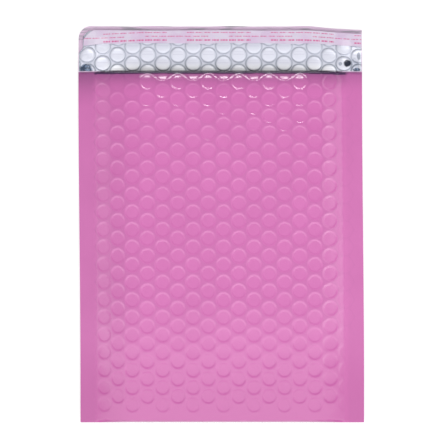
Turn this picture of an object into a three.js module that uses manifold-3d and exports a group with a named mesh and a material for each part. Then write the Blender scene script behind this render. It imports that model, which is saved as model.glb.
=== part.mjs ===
// Padded envelope: a folded film sleeve with sealed sides, a bubble lining and a peel-off closure.
// Millimetres. +X runs across the envelope, +Y towards the open flap, +Z up out of the front panel.
// The origin lies under the middle of the whole outline, on the surface that the back rests on.

import * as THREE from 'three';
import { mergeVertices } from 'three/addons/utils/BufferGeometryUtils.js';
import Module from 'manifold-3d';

// Outline
const WIDTH = 180;
const POCKET_LENGTH = 221;
const FLAP_LENGTH = 30;
const SEAL_WIDTH = 10;
const FLAP_CORNER_RADIUS = 8;
const EDGE_DROP = 2.2;
const EDGE_DROP_REACH = 40;

// Heights above the resting surface
const BELLY_HEIGHT = 14.8;
const MOUTH_HEIGHT = 13.4;
const FOLD_HEIGHT = 9.8;
const SEAL_UNDERSIDE = 3.6;
const SEAL_THICKNESS = 1;
const FLAP_SIDE_LIFT = 0.9;

// How far each slope of the pillow shape reaches
const SHOULDER_REACH = 32;
const FOLD_REACH = 4;
const BELLY_REACH = 80;
const MOUTH_REACH = 23;

// Sheets, thickened from real film so that each is a sound solid
const FILM_THICKNESS = 0.9;
const LINING_THICKNESS = 2.2;
const CLEARANCE = 0.3;
const LINING_SIDE_INSET = 7;
const LINING_FOLD_INSET = 3;
const LINING_MOUTH_INSET = 0.5;
const LINING_FLAP_INSET = 0.8;
const POCKET_SIDE_INSET = 10;
const POCKET_FOLD_INSET = 16;
const LEAST_POCKET_GAP = 0.3;

// Bubble pattern
const COLUMN_SPACING = 9.556;
const ROW_PITCH = 11.13;
const DISC_SHARE = 0.92;
const DIMPLE_DEPTH = 0.25;
const DIMPLE_BOWL = 0.05;
const BUBBLE_RISE = 0.5;
const BUBBLE_CROWN = 0.1;
const FRONT_FIRST_COLUMN = 5.5;
const FRONT_TOP_ROW = 0.95;
const FLAP_FIRST_COLUMN = 5.9;
const FLAP_FIRST_ROW = 0.9;
const FIELD_FOLD_MARGIN = 10;
const FIELD_FLAP_MARGIN = 6;

// Closure
const LINER_HEIGHT = 8.2;
const LINER_THICKNESS = 0.2;
const LINER_EDGE_MARGIN = 3.3;
const LINER_LEFT_MARGIN = 4.5;
const LINER_RIGHT_MARGIN = 0.7;
const ADHESIVE_INSET = 1;
const ADHESIVE_THICKNESS = 0.2;

// Derived places
const HALF_WIDTH = WIDTH / 2;
const SLEEVE_HALF = HALF_WIDTH - SEAL_WIDTH;
const LENGTH = POCKET_LENGTH + FLAP_LENGTH;
const FOLD_Y = -LENGTH / 2;
const MOUTH_Y = FOLD_Y + POCKET_LENGTH;
const FLAP_Y = LENGTH / 2;
const SEAL_TOP = SEAL_UNDERSIDE + SEAL_THICKNESS;
const LINING_HALF = SLEEVE_HALF - LINING_SIDE_INSET;
const CAVITY_HALF = LINING_HALF + CLEARANCE;
const POCKET_HALF = SLEEVE_HALF - POCKET_SIDE_INSET;
const DISC_RADIUS = (ROW_PITCH / 2) * DISC_SHARE;

// Room that cutting solids reach past the outline, below and above the envelope
const OVERRUN = 1;
const CUT_MARGIN = 5;
const CUT_FLOOR = -CUT_MARGIN;
const CUT_CEILING = BELLY_HEIGHT + CUT_MARGIN;

// Steps of the smooth grids: across from each seal, and along from the fold and from the mouth
const SHOULDER_STEPS = [0.4, 0.6, 0.8, 1].map((share) => share * SHOULDER_REACH);
const FOLD_STEPS = [0.15, 0.35, 0.6, 0.8, 1].map((share) => share * FOLD_REACH);
const BELLY_STEPS = [0.12, 0.25, 0.4, 0.55, 0.75, 1].map((share) => share * BELLY_REACH);
const MOUTH_STEPS = [1, 0.7, 0.4, 0.2].map((share) => share * MOUTH_REACH);
const FLAP_STEPS = [0.25, 0.5, 0.75].map((share) => share * FLAP_LENGTH);
const SAG_STEPS = [0.25, 0.5, 0.75].map((share) => share * EDGE_DROP_REACH);
const FLAP_EDGE_PIECES = 8;
const CORNER_PIECES = 6;

const wasm = await Module();
wasm.setup();

// Profiles

const easeOut = (distance, reach) => {
  const share = Math.min(Math.max(distance / reach, 0), 1);
  return Math.sin((share * Math.PI) / 2);
};

const smoothStep = (distance, reach) => {
  const share = Math.min(Math.max(distance / reach, 0), 1);
  return share * share * (3 - 2 * share);
};

// Share of the full pillow height: zero on the seals and the fold edge, one over the belly
const pillowShare = (x, y) =>
  easeOut(SLEEVE_HALF - Math.abs(x), SHOULDER_REACH) * easeOut(y - FOLD_Y, FOLD_REACH);

const crestHeight = (y) => {
  const rise = (BELLY_HEIGHT - FOLD_HEIGHT) * easeOut(y - FOLD_Y, BELLY_REACH);
  const fall = (BELLY_HEIGHT - MOUTH_HEIGHT) * (1 - easeOut(MOUTH_Y - y, MOUTH_REACH));
  return FOLD_HEIGHT + rise - fall;
};

const frontHeight = (x, y) => SEAL_TOP + (crestHeight(y) - SEAL_TOP) * pillowShare(x, y);

const backHeight = (x, y) => {
  const settle = smoothStep(y - MOUTH_Y, FLAP_LENGTH);
  const sideLift = THREE.MathUtils.lerp(SEAL_UNDERSIDE, FLAP_SIDE_LIFT, settle);
  return sideLift * (1 - pillowShare(x, y));
};

const cavityFloor = (x, y) => backHeight(x, y) + FILM_THICKNESS;
const cavityCeiling = (x, y) => frontHeight(x, y) - FILM_THICKNESS;
const liningFloor = (x, y) => cavityFloor(x, y) + CLEARANCE;
const liningCeiling = (x, y) => cavityCeiling(x, y) - CLEARANCE;
const flapLiningTop = (x, y) => liningFloor(x, y) + LINING_THICKNESS;

const pocketMiddle = (x, y) => (liningFloor(x, y) + liningCeiling(x, y)) / 2;

const pocketFloor = (x, y) => {
  const closed = pocketMiddle(x, y) - LEAST_POCKET_GAP / 2;
  return Math.min(liningFloor(x, y) + LINING_THICKNESS, closed);
};

const pocketCeiling = (x, y) => {
  const closed = pocketMiddle(x, y) + LEAST_POCKET_GAP / 2;
  return Math.max(liningCeiling(x, y) - LINING_THICKNESS, closed);
};

const adhesiveUnderside = (x, y) => flapLiningTop(x, y) + BUBBLE_RISE + BUBBLE_CROWN + CLEARANCE;
const adhesiveTop = (x, y) => adhesiveUnderside(x, y) + ADHESIVE_THICKNESS;
const linerUnderside = (x, y) => adhesiveTop(x, y) + CLEARANCE;
const linerTop = (x, y) => linerUnderside(x, y) + LINER_THICKNESS;

// The flap edge and the closure sag towards the fold at the right-hand end
const edgeDrop = (x) => EDGE_DROP * smoothStep(x - (HALF_WIDTH - EDGE_DROP_REACH), EDGE_DROP_REACH);

// A sheet of triangles over the XY plane, with each place stored once
class Sheet {
  constructor() {
    this.points = [];
    this.triangles = [];
    this.placeIndex = new Map();
  }

  point(x, y, z) {
    const key = `${x.toFixed(4)} ${y.toFixed(4)}`;
    if (!this.placeIndex.has(key)) {
      this.placeIndex.set(key, this.points.length);
      this.points.push([x, y, z]);
    }
    return this.placeIndex.get(key);
  }

  // Stores the triangle so that it faces up
  triangle(a, b, c) {
    const [p, q, r] = [this.points[a], this.points[b], this.points[c]];
    const turn = (q[0] - p[0]) * (r[1] - p[1]) - (q[1] - p[1]) * (r[0] - p[0]);
    this.triangles.push(turn > 0 ? [a, b, c] : [a, c, b]);
  }
}

// Closed solid between two levels of one sheet of triangles
function solidBetween(triangles, lower, upper) {
  const count = lower.length;
  const faces = [];
  const openEdges = new Map();
  for (const [a, b, c] of triangles) {
    faces.push([a + count, b + count, c + count]);
    faces.push([a, c, b]);
    for (const [from, to] of [[a, b], [b, c], [c, a]]) {
      if (!openEdges.delete(`${to} ${from}`)) {
        openEdges.set(`${from} ${to}`, [from, to]);
      }
    }
  }
  for (const [from, to] of openEdges.values()) {
    faces.push([from, to, to + count]);
    faces.push([from, to + count, from + count]);
  }
  return new wasm.Manifold(new wasm.Mesh({
    numProp: 3,
    vertProperties: new Float32Array([...lower, ...upper].flat()),
    triVerts: new Uint32Array(faces.flat()),
  }));
}

const atLevel = (points, z) => points.map(([x, y]) => [x, y, z]);
const solidBelow = (sheet) => solidBetween(sheet.triangles, atLevel(sheet.points, CUT_FLOOR), sheet.points);
const solidAbove = (sheet) => solidBetween(sheet.triangles, sheet.points, atLevel(sheet.points, CUT_CEILING));

// Smooth solid between two height functions over a grid
function gridSolid(xs, ys, lowerHeight, upperHeight, shiftY = () => 0) {
  const sheet = new Sheet();
  for (let i = 0; i + 1 < xs.length; i += 1) {
    for (let j = 0; j + 1 < ys.length; j += 1) {
      const corner = (x, y) => sheet.point(x, y, 0);
      const low = [corner(xs[i], ys[j]), corner(xs[i + 1], ys[j])];
      const high = [corner(xs[i], ys[j + 1]), corner(xs[i + 1], ys[j + 1])];
      sheet.triangle(low[0], low[1], high[1]);
      sheet.triangle(low[0], high[1], high[0]);
    }
  }
  const raise = (height) => sheet.points.map(([x, y]) => [x, y - shiftY(x), height(x, y - shiftY(x))]);
  return solidBetween(sheet.triangles, raise(lowerHeight), raise(upperHeight));
}

const between = (values, low, high) => values.filter((value) => value > low && value < high);
const ascending = (values) => [...new Set(values)].sort((a, b) => a - b);

function acrossStations(left, right) {
  const shoulders = SHOULDER_STEPS.flatMap((step) => [step - SLEEVE_HALF, SLEEVE_HALF - step]);
  const inner = between([0, -SLEEVE_HALF, SLEEVE_HALF, ...shoulders], left, right);
  return ascending([left, ...inner, right]);
}

function alongStations(low, high) {
  const fromFold = [...FOLD_STEPS, ...BELLY_STEPS].map((step) => FOLD_Y + step);
  const fromMouth = MOUTH_STEPS.map((step) => MOUTH_Y - step);
  const onFlap = FLAP_STEPS.map((step) => MOUTH_Y + step);
  const inner = between([...fromFold, ...fromMouth, MOUTH_Y, ...onFlap], low, high);
  return ascending([low, ...inner, high]);
}

// Joins two lines of points that run the same way, each point as [x, y]
function bridge(sheet, near, far, axis, height) {
  const index = ([x, y]) => sheet.point(x, y, height(x, y));
  let i = 0;
  let j = 0;
  while (i + 1 < near.length || j + 1 < far.length) {
    const nearNext = i + 1 < near.length ? near[i + 1][axis] : Infinity;
    const farNext = j + 1 < far.length ? far[j + 1][axis] : Infinity;
    if (farNext <= nearNext) {
      sheet.triangle(index(near[i]), index(far[j]), index(far[j + 1]));
      j += 1;
    } else {
      sheet.triangle(index(near[i]), index(far[j]), index(near[i + 1]));
      i += 1;
    }
  }
}

// Places of a bubble lattice: odd columns stand half a pitch higher than even ones
function makeLattice(firstX, firstY, columns, rows) {
  return { firstX, firstY, columns, rows };
}

const columnX = (lattice, column) => lattice.firstX + column * COLUMN_SPACING;
const rowY = (lattice, column, row) =>
  lattice.firstY + row * ROW_PITCH + (Math.abs(column) % 2) * (ROW_PITCH / 2);

// Corner places half-way to the six neighbours of a bubble, counter-clockwise from the top
const CORNERS = [
  [0, ROW_PITCH / 2],
  [-COLUMN_SPACING / 2, ROW_PITCH / 4],
  [-COLUMN_SPACING / 2, -ROW_PITCH / 4],
  [0, -ROW_PITCH / 2],
  [COLUMN_SPACING / 2, -ROW_PITCH / 4],
  [COLUMN_SPACING / 2, ROW_PITCH / 4],
];

// A flat disc of six facets, raised or sunk from the web around it
function addDisc(sheet, x, y, height, offset, centreOffset) {
  const raised = (px, py, lift) => sheet.point(px, py, height(px, py) + lift);
  const middle = raised(x, y, centreOffset);
  const outer = CORNERS.map(([dx, dy]) => raised(x + dx, y + dy, 0));
  const inner = CORNERS.map(([dx, dy]) => raised(x + dx * DISC_SHARE, y + dy * DISC_SHARE, offset));
  CORNERS.forEach((_, i) => {
    const next = (i + 1) % CORNERS.length;
    sheet.triangle(outer[i], outer[next], inner[next]);
    sheet.triangle(outer[i], inner[next], inner[i]);
    sheet.triangle(middle, inner[i], inner[next]);
  });
}

// A shallow dimple of six facets that meet in its middle
function addDimple(sheet, x, y, height, offset) {
  const middle = sheet.point(x, y, height(x, y) + offset);
  const outer = CORNERS.map(([dx, dy]) => sheet.point(x + dx, y + dy, height(x + dx, y + dy)));
  CORNERS.forEach((_, i) => sheet.triangle(middle, outer[i], outer[(i + 1) % CORNERS.length]));
}

// Web triangles between neighbouring bubbles, and the fill that evens out the field's ends
function addWeb(sheet, lattice, height) {
  const { columns, rows } = lattice;
  const at = (x, y) => sheet.point(x, y, height(x, y));
  for (let column = 0; column < columns; column += 1) {
    const x = columnX(lattice, column);
    const [left, right] = [x - COLUMN_SPACING / 2, x + COLUMN_SPACING / 2];
    for (let row = 0; row + 1 < rows; row += 1) {
      const y = rowY(lattice, column, row) + ROW_PITCH / 2;
      for (const side of [left, right]) {
        sheet.triangle(at(x, y), at(side, y - ROW_PITCH / 4), at(side, y + ROW_PITCH / 4));
      }
    }
    // The end of each column that stops short of its neighbours is filled up to their corners
    const low = column % 2 === 1;
    const end = low ? rowY(lattice, column, 0) : rowY(lattice, column, rows - 1);
    const outward = low ? -ROW_PITCH : ROW_PITCH;
    const tip = at(x, end + outward / 2);
    const [nearLeft, nearRight] = [at(left, end + outward / 4), at(right, end + outward / 4)];
    const farY = end + (3 * outward) / 4;
    const [farLeft, farRight] = [at(left, farY), at(right, farY)];
    sheet.triangle(tip, nearLeft, farLeft);
    sheet.triangle(tip, nearRight, farRight);
    sheet.triangle(tip, farLeft, farRight);
  }
}

// The sheet of a whole panel: a bubble field with plain borders out to straight edges
function panelSheet(lattice, height, addBubble, leftLines, rightLines, lowLines, highLines) {
  const sheet = new Sheet();
  const { columns, rows } = lattice;
  for (let column = 0; column < columns; column += 1) {
    for (let row = 0; row < rows; row += 1) {
      addBubble(sheet, columnX(lattice, column), rowY(lattice, column, row));
    }
  }
  addWeb(sheet, lattice, height);

  const fieldLeft = columnX(lattice, 0) - COLUMN_SPACING / 2;
  const fieldRight = columnX(lattice, columns - 1) + COLUMN_SPACING / 2;
  const fieldLow = lattice.firstY - ROW_PITCH / 4;
  const fieldHigh = rowY(lattice, 1, rows - 1) + ROW_PITCH / 4;
  const sideSteps = Array.from({ length: 2 * rows + 1 }, (_, i) => fieldLow + (i * ROW_PITCH) / 2);
  const upright = (x) => sideSteps.map((y) => [x, y]);
  const uprights = (xs) => {
    xs.slice(1).forEach((x, i) => bridge(sheet, upright(xs[i]), upright(x), 1, height));
  };
  uprights([...leftLines, fieldLeft]);
  uprights([fieldRight, ...rightLines]);

  // The tips of the even columns show at the low end, and those of the odd ones at the high end
  const fieldEnd = (y, parity, tipY) => {
    const line = [[fieldLeft, y]];
    for (let column = 0; column < columns; column += 1) {
      if (column % 2 === parity) {
        line.push([columnX(lattice, column), tipY]);
      }
      line.push([columnX(lattice, column) + COLUMN_SPACING / 2, y]);
    }
    return [...leftLines.map((x) => [x, y]), ...line, ...rightLines.map((x) => [x, y])];
  };
  const centres = Array.from({ length: columns }, (_, column) => columnX(lattice, column));
  const straight = (y) => [...leftLines, ...centres, ...rightLines].map((x) => [x, y]);
  const levels = (ys) => {
    ys.slice(1).forEach((y, i) => bridge(sheet, straight(ys[i]), straight(y), 0, height));
  };
  levels(lowLines);
  levels(highLines);
  bridge(sheet, straight(lowLines.at(-1)), fieldEnd(fieldLow, 0, fieldLow - ROW_PITCH / 4), 0, height);
  bridge(sheet, straight(highLines[0]), fieldEnd(fieldHigh, 1, fieldHigh + ROW_PITCH / 4), 0, height);
  return sheet;
}

// Plan shape of the envelope, drawn in from its edges by an inset, from one station up to the flap
function outlineSolid(inset, lowY) {
  const side = HALF_WIDTH - inset;
  const top = FLAP_Y - inset;
  const radius = FLAP_CORNER_RADIUS - inset;
  const shape = new THREE.Shape();
  shape.moveTo(-side, lowY);
  shape.lineTo(side, lowY);
  for (let i = 0; i <= FLAP_EDGE_PIECES; i += 1) {
    const x = side - (i * EDGE_DROP_REACH) / FLAP_EDGE_PIECES;
    shape.lineTo(x, top - edgeDrop(x));
  }
  shape.lineTo(radius - side, top);
  shape.absarc(radius - side, top - radius, radius, Math.PI / 2, Math.PI, false);
  shape.closePath();
  return extruded(shape, CORNER_PIECES);
}

function extruded(shape, curveSegments) {
  const depth = CUT_CEILING - CUT_FLOOR;
  const geometry = new THREE.ExtrudeGeometry(shape, { depth, bevelEnabled: false, curveSegments });
  geometry.translate(0, 0, CUT_FLOOR);
  geometry.deleteAttribute('normal');
  geometry.deleteAttribute('uv');
  const merged = mergeVertices(geometry);
  return new wasm.Manifold(new wasm.Mesh({
    numProp: 3,
    vertProperties: new Float32Array(merged.attributes.position.array),
    triVerts: new Uint32Array(merged.index.array),
  }));
}

function rectangleSolid(left, right, low, high) {
  const shape = new THREE.Shape();
  shape.moveTo(left, low);
  shape.lineTo(right, low);
  shape.lineTo(right, high);
  shape.lineTo(left, high);
  shape.closePath();
  return extruded(shape, 1);
}

// Outer film: pink sheet, folded at the bottom, sealed at both sides, with the flap

const reachX = HALF_WIDTH + OVERRUN;
const foldLines = [-OVERRUN, 0, ...FOLD_STEPS].map((step) => FOLD_Y + step);

function frontSheet() {
  const columns = Math.floor((2 * SLEEVE_HALF - FRONT_FIRST_COLUMN) / COLUMN_SPACING);
  const rows = Math.floor((POCKET_LENGTH - FIELD_FOLD_MARGIN + FRONT_TOP_ROW) / ROW_PITCH) + 1;
  const firstY = MOUTH_Y + FRONT_TOP_ROW - (rows - 1) * ROW_PITCH;
  const lattice = makeLattice(FRONT_FIRST_COLUMN - SLEEVE_HALF, firstY, columns, rows);
  const fieldRight = columnX(lattice, columns - 1) + COLUMN_SPACING / 2;
  const bubble = (sheet, x, y) =>
    addDisc(sheet, x, y, frontHeight, -DIMPLE_DEPTH, -DIMPLE_DEPTH - DIMPLE_BOWL);
  const leftLines = [-reachX, -SLEEVE_HALF];
  const rightLines = [(fieldRight + SLEEVE_HALF) / 2, SLEEVE_HALF, reachX];
  const fieldTop = MOUTH_Y + FRONT_TOP_ROW + ROW_PITCH;
  const highLines = [fieldTop + OVERRUN, FLAP_Y + OVERRUN];
  return panelSheet(lattice, frontHeight, bubble, leftLines, rightLines, foldLines, highLines);
}

function backSheet() {
  const columns = 2 * Math.floor((SLEEVE_HALF - COLUMN_SPACING / 4) / COLUMN_SPACING);
  const firstX = (-(columns - 1) * COLUMN_SPACING) / 2;
  const room = LENGTH - FIELD_FOLD_MARGIN - FIELD_FLAP_MARGIN - ROW_PITCH / 2;
  const rows = Math.floor(room / ROW_PITCH) + 1;
  const firstY = FOLD_Y + FIELD_FOLD_MARGIN;
  const lattice = makeLattice(firstX, firstY, columns, rows);
  const bubble = (sheet, x, y) => addDimple(sheet, x, y, backHeight, DIMPLE_DEPTH);
  const leftLines = [-reachX, -SLEEVE_HALF];
  const rightLines = [SLEEVE_HALF, reachX];
  const fieldTop = firstY + rows * ROW_PITCH;
  const highLines = [(fieldTop + FLAP_Y) / 2, FLAP_Y + OVERRUN];
  return panelSheet(lattice, backHeight, bubble, leftLines, rightLines, foldLines, highLines);
}

const flapStations = alongStations(MOUTH_Y, FLAP_Y + OVERRUN);
const airAbove = () => CUT_CEILING;

function outerFilm() {
  const slab = solidBelow(frontSheet()).intersect(solidAbove(backSheet()));
  const block = slab.intersect(outlineSolid(0, FOLD_Y));
  const cavityXs = acrossStations(-CAVITY_HALF, CAVITY_HALF);
  const cavityYs = alongStations(FOLD_Y + LINING_FOLD_INSET - CLEARANCE, MOUTH_Y + OVERRUN);
  const cavity = gridSolid(cavityXs, cavityYs, cavityFloor, cavityCeiling);
  const flapAir = gridSolid(acrossStations(-reachX, reachX), flapStations, cavityFloor, airAbove);
  return block.subtract(cavity).subtract(flapAir);
}

// Bubble lining: silver-backed bubble sheet inside the pocket and over the flap

function flapBubbleSheet() {
  const columns = Math.floor((WIDTH - FLAP_FIRST_COLUMN) / COLUMN_SPACING);
  const rows = Math.ceil(FLAP_LENGTH / ROW_PITCH);
  const lattice = makeLattice(FLAP_FIRST_COLUMN - HALF_WIDTH, MOUTH_Y + FLAP_FIRST_ROW, columns, rows);
  const lastBubble = FLAP_Y - LINING_FLAP_INSET - DISC_RADIUS;
  const bubble = (sheet, x, y) => {
    const rise = y < lastBubble ? BUBBLE_RISE : 0;
    const crown = y < lastBubble ? BUBBLE_RISE + BUBBLE_CROWN : 0;
    addDisc(sheet, x, y, flapLiningTop, rise, crown);
  };
  const fieldTop = lattice.firstY + rows * ROW_PITCH;
  const fieldLow = lattice.firstY - ROW_PITCH / 2;
  const lowLines = [fieldLow - 2 * OVERRUN, fieldLow - OVERRUN];
  const highLines = [fieldTop + OVERRUN, fieldTop + 2 * OVERRUN];
  const leftLines = [-reachX];
  const rightLines = [reachX + COLUMN_SPACING];
  return panelSheet(lattice, flapLiningTop, bubble, leftLines, rightLines, lowLines, highLines);
}

function bubbleLining() {
  const foldEnd = FOLD_Y + LINING_FOLD_INSET;
  const mouthEnd = MOUTH_Y - LINING_MOUTH_INSET;
  const layerYs = alongStations(foldEnd, FLAP_Y + OVERRUN);
  const block = gridSolid(acrossStations(-reachX, reachX), layerYs, liningFloor, liningCeiling);
  const pocketPart = rectangleSolid(-LINING_HALF, LINING_HALF, foldEnd, MOUTH_Y + OVERRUN);
  const plan = pocketPart.add(outlineSolid(LINING_FLAP_INSET, MOUTH_Y + CLEARANCE));
  const pocketYs = alongStations(FOLD_Y + POCKET_FOLD_INSET, MOUTH_Y);
  const pocket = gridSolid(acrossStations(-POCKET_HALF, POCKET_HALF), pocketYs, pocketFloor, pocketCeiling);
  const mouthRoom = rectangleSolid(-reachX, reachX, mouthEnd, FLAP_Y + OVERRUN);
  const flapAir = solidAbove(flapBubbleSheet()).intersect(mouthRoom);
  return block.intersect(plan).subtract(pocket).subtract(flapAir);
}

// Closure strips across the flap, over the bubbles

function closureStrip(inset, lowerHeight, upperHeight) {
  const left = LINER_LEFT_MARGIN - HALF_WIDTH + inset;
  const right = HALF_WIDTH - LINER_RIGHT_MARGIN - inset;
  const high = FLAP_Y - LINER_EDGE_MARGIN - inset;
  const low = FLAP_Y - LINER_EDGE_MARGIN - LINER_HEIGHT + inset;
  const sag = SAG_STEPS.map((step) => HALF_WIDTH - step);
  const xs = ascending([...acrossStations(left, right), ...between(sag, left, right)]);
  return gridSolid(xs, ascending([low, (low + high) / 2, high]), lowerHeight, upperHeight, edgeDrop);
}

// Finishes

const finish = (color, roughness, metalness) =>
  new THREE.MeshStandardMaterial({ color, roughness, metalness });
const PINK_FILM = finish(0xdb80bd, 0.42, 0);
const SILVER_BUBBLE = finish(0xd4d2de, 0.3, 0.35);
const CLEAR_ADHESIVE = finish(0xe6dfd2, 0.35, 0);
const LINER_PAPER = finish(0xd8c3d8, 0.5, 0);

function meshOf(name, solid, material) {
  const { vertProperties, triVerts } = solid.getMesh();
  const geometry = new THREE.BufferGeometry();
  geometry.setAttribute('position', new THREE.BufferAttribute(new Float32Array(vertProperties), 3));
  geometry.setIndex(new THREE.BufferAttribute(new Uint32Array(triVerts), 1));
  geometry.computeVertexNormals();
  const mesh = new THREE.Mesh(geometry, material);
  mesh.name = name;
  return mesh;
}

const adhesiveStrip = closureStrip(ADHESIVE_INSET, adhesiveUnderside, adhesiveTop);
const releaseLiner = closureStrip(0, linerUnderside, linerTop);

const envelope = new THREE.Group();
envelope.add(meshOf('outer_film', outerFilm(), PINK_FILM));
envelope.add(meshOf('bubble_lining', bubbleLining(), SILVER_BUBBLE));
envelope.add(meshOf('adhesive_strip', adhesiveStrip, CLEAR_ADHESIVE));
envelope.add(meshOf('release_liner', releaseLiner, LINER_PAPER));

export default envelope;
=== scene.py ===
"""Looks of a padded envelope: pink embossed film, silvered bubble lining and a peel-off strip.

Lengths are in millimetres in the constants and formulas below, and become metres where a mesh is made.
"""
import math

import bmesh
import bpy
import numpy as np
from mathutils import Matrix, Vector


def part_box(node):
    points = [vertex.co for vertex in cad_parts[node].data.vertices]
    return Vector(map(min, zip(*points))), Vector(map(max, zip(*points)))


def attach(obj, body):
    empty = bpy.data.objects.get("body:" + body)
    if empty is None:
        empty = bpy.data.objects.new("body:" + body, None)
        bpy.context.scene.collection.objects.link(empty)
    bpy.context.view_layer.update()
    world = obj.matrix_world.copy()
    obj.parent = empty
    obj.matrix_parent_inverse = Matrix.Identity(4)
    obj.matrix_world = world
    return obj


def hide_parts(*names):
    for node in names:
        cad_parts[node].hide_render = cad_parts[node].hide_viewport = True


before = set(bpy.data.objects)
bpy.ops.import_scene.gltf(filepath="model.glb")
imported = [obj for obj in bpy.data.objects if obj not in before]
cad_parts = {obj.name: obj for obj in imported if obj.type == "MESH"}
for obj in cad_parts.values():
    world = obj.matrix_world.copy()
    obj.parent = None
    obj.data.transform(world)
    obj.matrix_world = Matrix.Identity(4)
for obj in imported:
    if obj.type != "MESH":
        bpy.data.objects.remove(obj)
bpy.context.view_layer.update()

MM = 0.001

# Two places closer than this are the same place, and so many digits tell two places apart
NEAR = 1e-3
PLACE_DIGITS = 3

# A line closer than this to a point of a mesh runs through the point
CUT_GAP = 1e-4

# A height above everything
FAR_ABOVE = 100.0

# Sizes that the frame gives
film_low, film_high = [np.array(corner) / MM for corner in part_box("outer_film")]
HALF_WIDTH = film_high[0]
FOLD_Y = film_low[1]
FLAP_Y = film_high[1]
BELLY_HEIGHT = film_high[2]

# Sizes shared with the solids
FLAP_LENGTH = 30.0
SEAL_WIDTH = 10.0
MOUTH_HEIGHT = 13.4
SEAL_MIDDLE = 4.1
FLAP_SIDE_LIFT = 0.9
SHOULDER_REACH = 32.0
BELLY_REACH = 80.0
MOUTH_REACH = 23.0
EDGE_DROP = 2.2
EDGE_DROP_REACH = 40.0
CORNER_RADIUS = 8.0
FILM_THICKNESS = 0.9
LINING_THICKNESS = 2.2
CLEARANCE = 0.3
LINING_SIDE_GAP = 7.0
MOUTH_Y = FLAP_Y - FLAP_LENGTH
SLEEVE_HALF = HALF_WIDTH - SEAL_WIDTH
LINING_HALF = SLEEVE_HALF - LINING_SIDE_GAP

# Where the film's shape departs from the solids
FOLD_HEIGHT = 10.6
FOLD_REACH = 1.6
RIGHT_SEAL_EXTRA = 2.0

# Fine film
SEALED_THICKNESS = 0.4
FILM_EDGE = 0.2
TOUCH_GAP = 0.02
LIP_DEPTH = 6.0
MOUTH_CURL = 0.8
MOUTH_CURL_REACH = 6.0
MOUTH_ROLL = 2.2
MOUTH_ROLL_REACH = 0.9
MOUTH_STRETCH = 1.1
MOUTH_STRETCH_RISE = 3.4
MOUTH_STRETCH_END = 12.0
MOUTH_STRETCH_FADE = 28.0
MOUTH_STRETCH_SIDE = 12.0
FLAP_EDGE_INSET = 0.75

# Sides that lie a little askew
SKEW = 1.3
SKEW_REACH = 200.0
SKEW_AT_MOUTH = 0.3
LEFT_TRIM = 0.7
RIGHT_TRIM = 0.25
TRIM_START = 55.0
TRIM_REACH = 25.0

# Bubble pattern
COLUMN_SPACING = 9.556
ROW_PITCH = 11.02
FILM_FIRST_X = 5.5 - SLEEVE_HALF
FILM_FIRST_Y = MOUTH_Y - 0.15
LINING_FIRST_X = 5.9 - HALF_WIDTH
LINING_FIRST_Y = MOUTH_Y + 0.3

# Angles between faces, in degrees, above which an edge stays sharp
SHARP_ANGLE = 40
SHARP_ANGLE_LINING = 50

# Dimples of the film
DIMPLE_RADIUS = 5.25
FACE_RADIUS = 3.7
FACE_SLOPE = 0.018
RIM_SLOPE = 0.205
RIM_TURN = 0.3
RIM_WIDTH = 0.6
DIMPLE_LEAST = 0.94
DIMPLE_SPREAD = 0.12
DIMPLE_LEAN = 0.012
DIMPLE_SIDE_FADE = 2.5
PROFILE_STEPS = 200
BACK_STRENGTH = 1.4

# Where the dimples fade out: start from the edge, and reach
FOLD_FADE = (3.0, 13.0)
FRONT_SIDE_FADE = (-2.5, 9.5)
BACK_SIDE_FADE = (3.0, 5.0)
FLAP_FADE = (4.0, 6.0)

# Bubbles of the lining
BUBBLE_RADIUS = 5.15
BUBBLE_RISE = 1.0
BUBBLE_LEAST = 0.9
BUBBLE_SPREAD = 0.12
WALL_POWER = 9
TOP_POWER = 0.8

# Parts of each side of a bubble's cell, and radii of the mesh's rings round a bubble
SIDE_PARTS = 4
FRONT_RINGS = [3.5, 3.8, 4.1, 4.45, 4.85, DIMPLE_RADIUS]
BACK_RINGS = [4.2]
FILM_PLAIN_RINGS = [3.2]
LINING_RINGS = [3.4, 4.3, 4.75, 5.0, BUBBLE_RADIUS]
LINING_PLAIN_RINGS = [4.4]

# Where the rings are fine: past the seals, from the fold, past the mouth, and behind it
FINE_PAST_SEAL = 1.0
FINE_FROM_FOLD = 6.0
FINE_PAST_MOUTH = 8.0
FINE_LINING_REACH = 16.0

# Extra lines of the film's mesh, counted from the seals, the fold, the left edge and the mouth
SEAL_TURN = 1.2
FOLD_LINES = [0.2, 0.5, 1.0, FOLD_REACH]
LEFT_EDGE_LINES = [0.2, 0.6, 1.2, 2.2, 3.4, 5.0]
MOUTH_LINES = [0, 0.25, 0.5, 0.8, 1.1, 1.4, 1.8, 2.2, 2.6, 3.0, 3.5, 4.0, 4.7, LIP_DEPTH]

# Lining
LINING_BASE = 1.5
LINING_EDGE_GAP = 0.5
LINING_MARGIN = 3.0
LINING_ROOF_GAP = 0.5
LINING_FLAP_GAP = 0.15
LINING_FLAP_START = 0.6
LINING_SINK = FILM_THICKNESS + CLEARANCE - FILM_EDGE - LINING_FLAP_GAP
LINING_SINK_REACH = 2.0
LINING_FOLD_GAP = 3.2
LINING_FRONT_INSET = 2.5
LEAST_GAP = 0.15
CORNER_INSET = 2.4
CORNER_INSET_START = 4.0
CORNER_INSET_REACH = (14.0, 5.0)

# Crumples at the two ends of the mouth: turns for each mm, and how far and how quickly they bend
CRUMPLE_REACH = 13.0
CRUMPLE_DEPTH = 1.3
CRUMPLE_EDGE = 1.0
CRUMPLE_FROM_MOUTH = 3.0
CRUMPLE_X = (1.3, 1.7, 0.9)
CRUMPLE_Y = (1.5, 1.1, 0.8)

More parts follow.
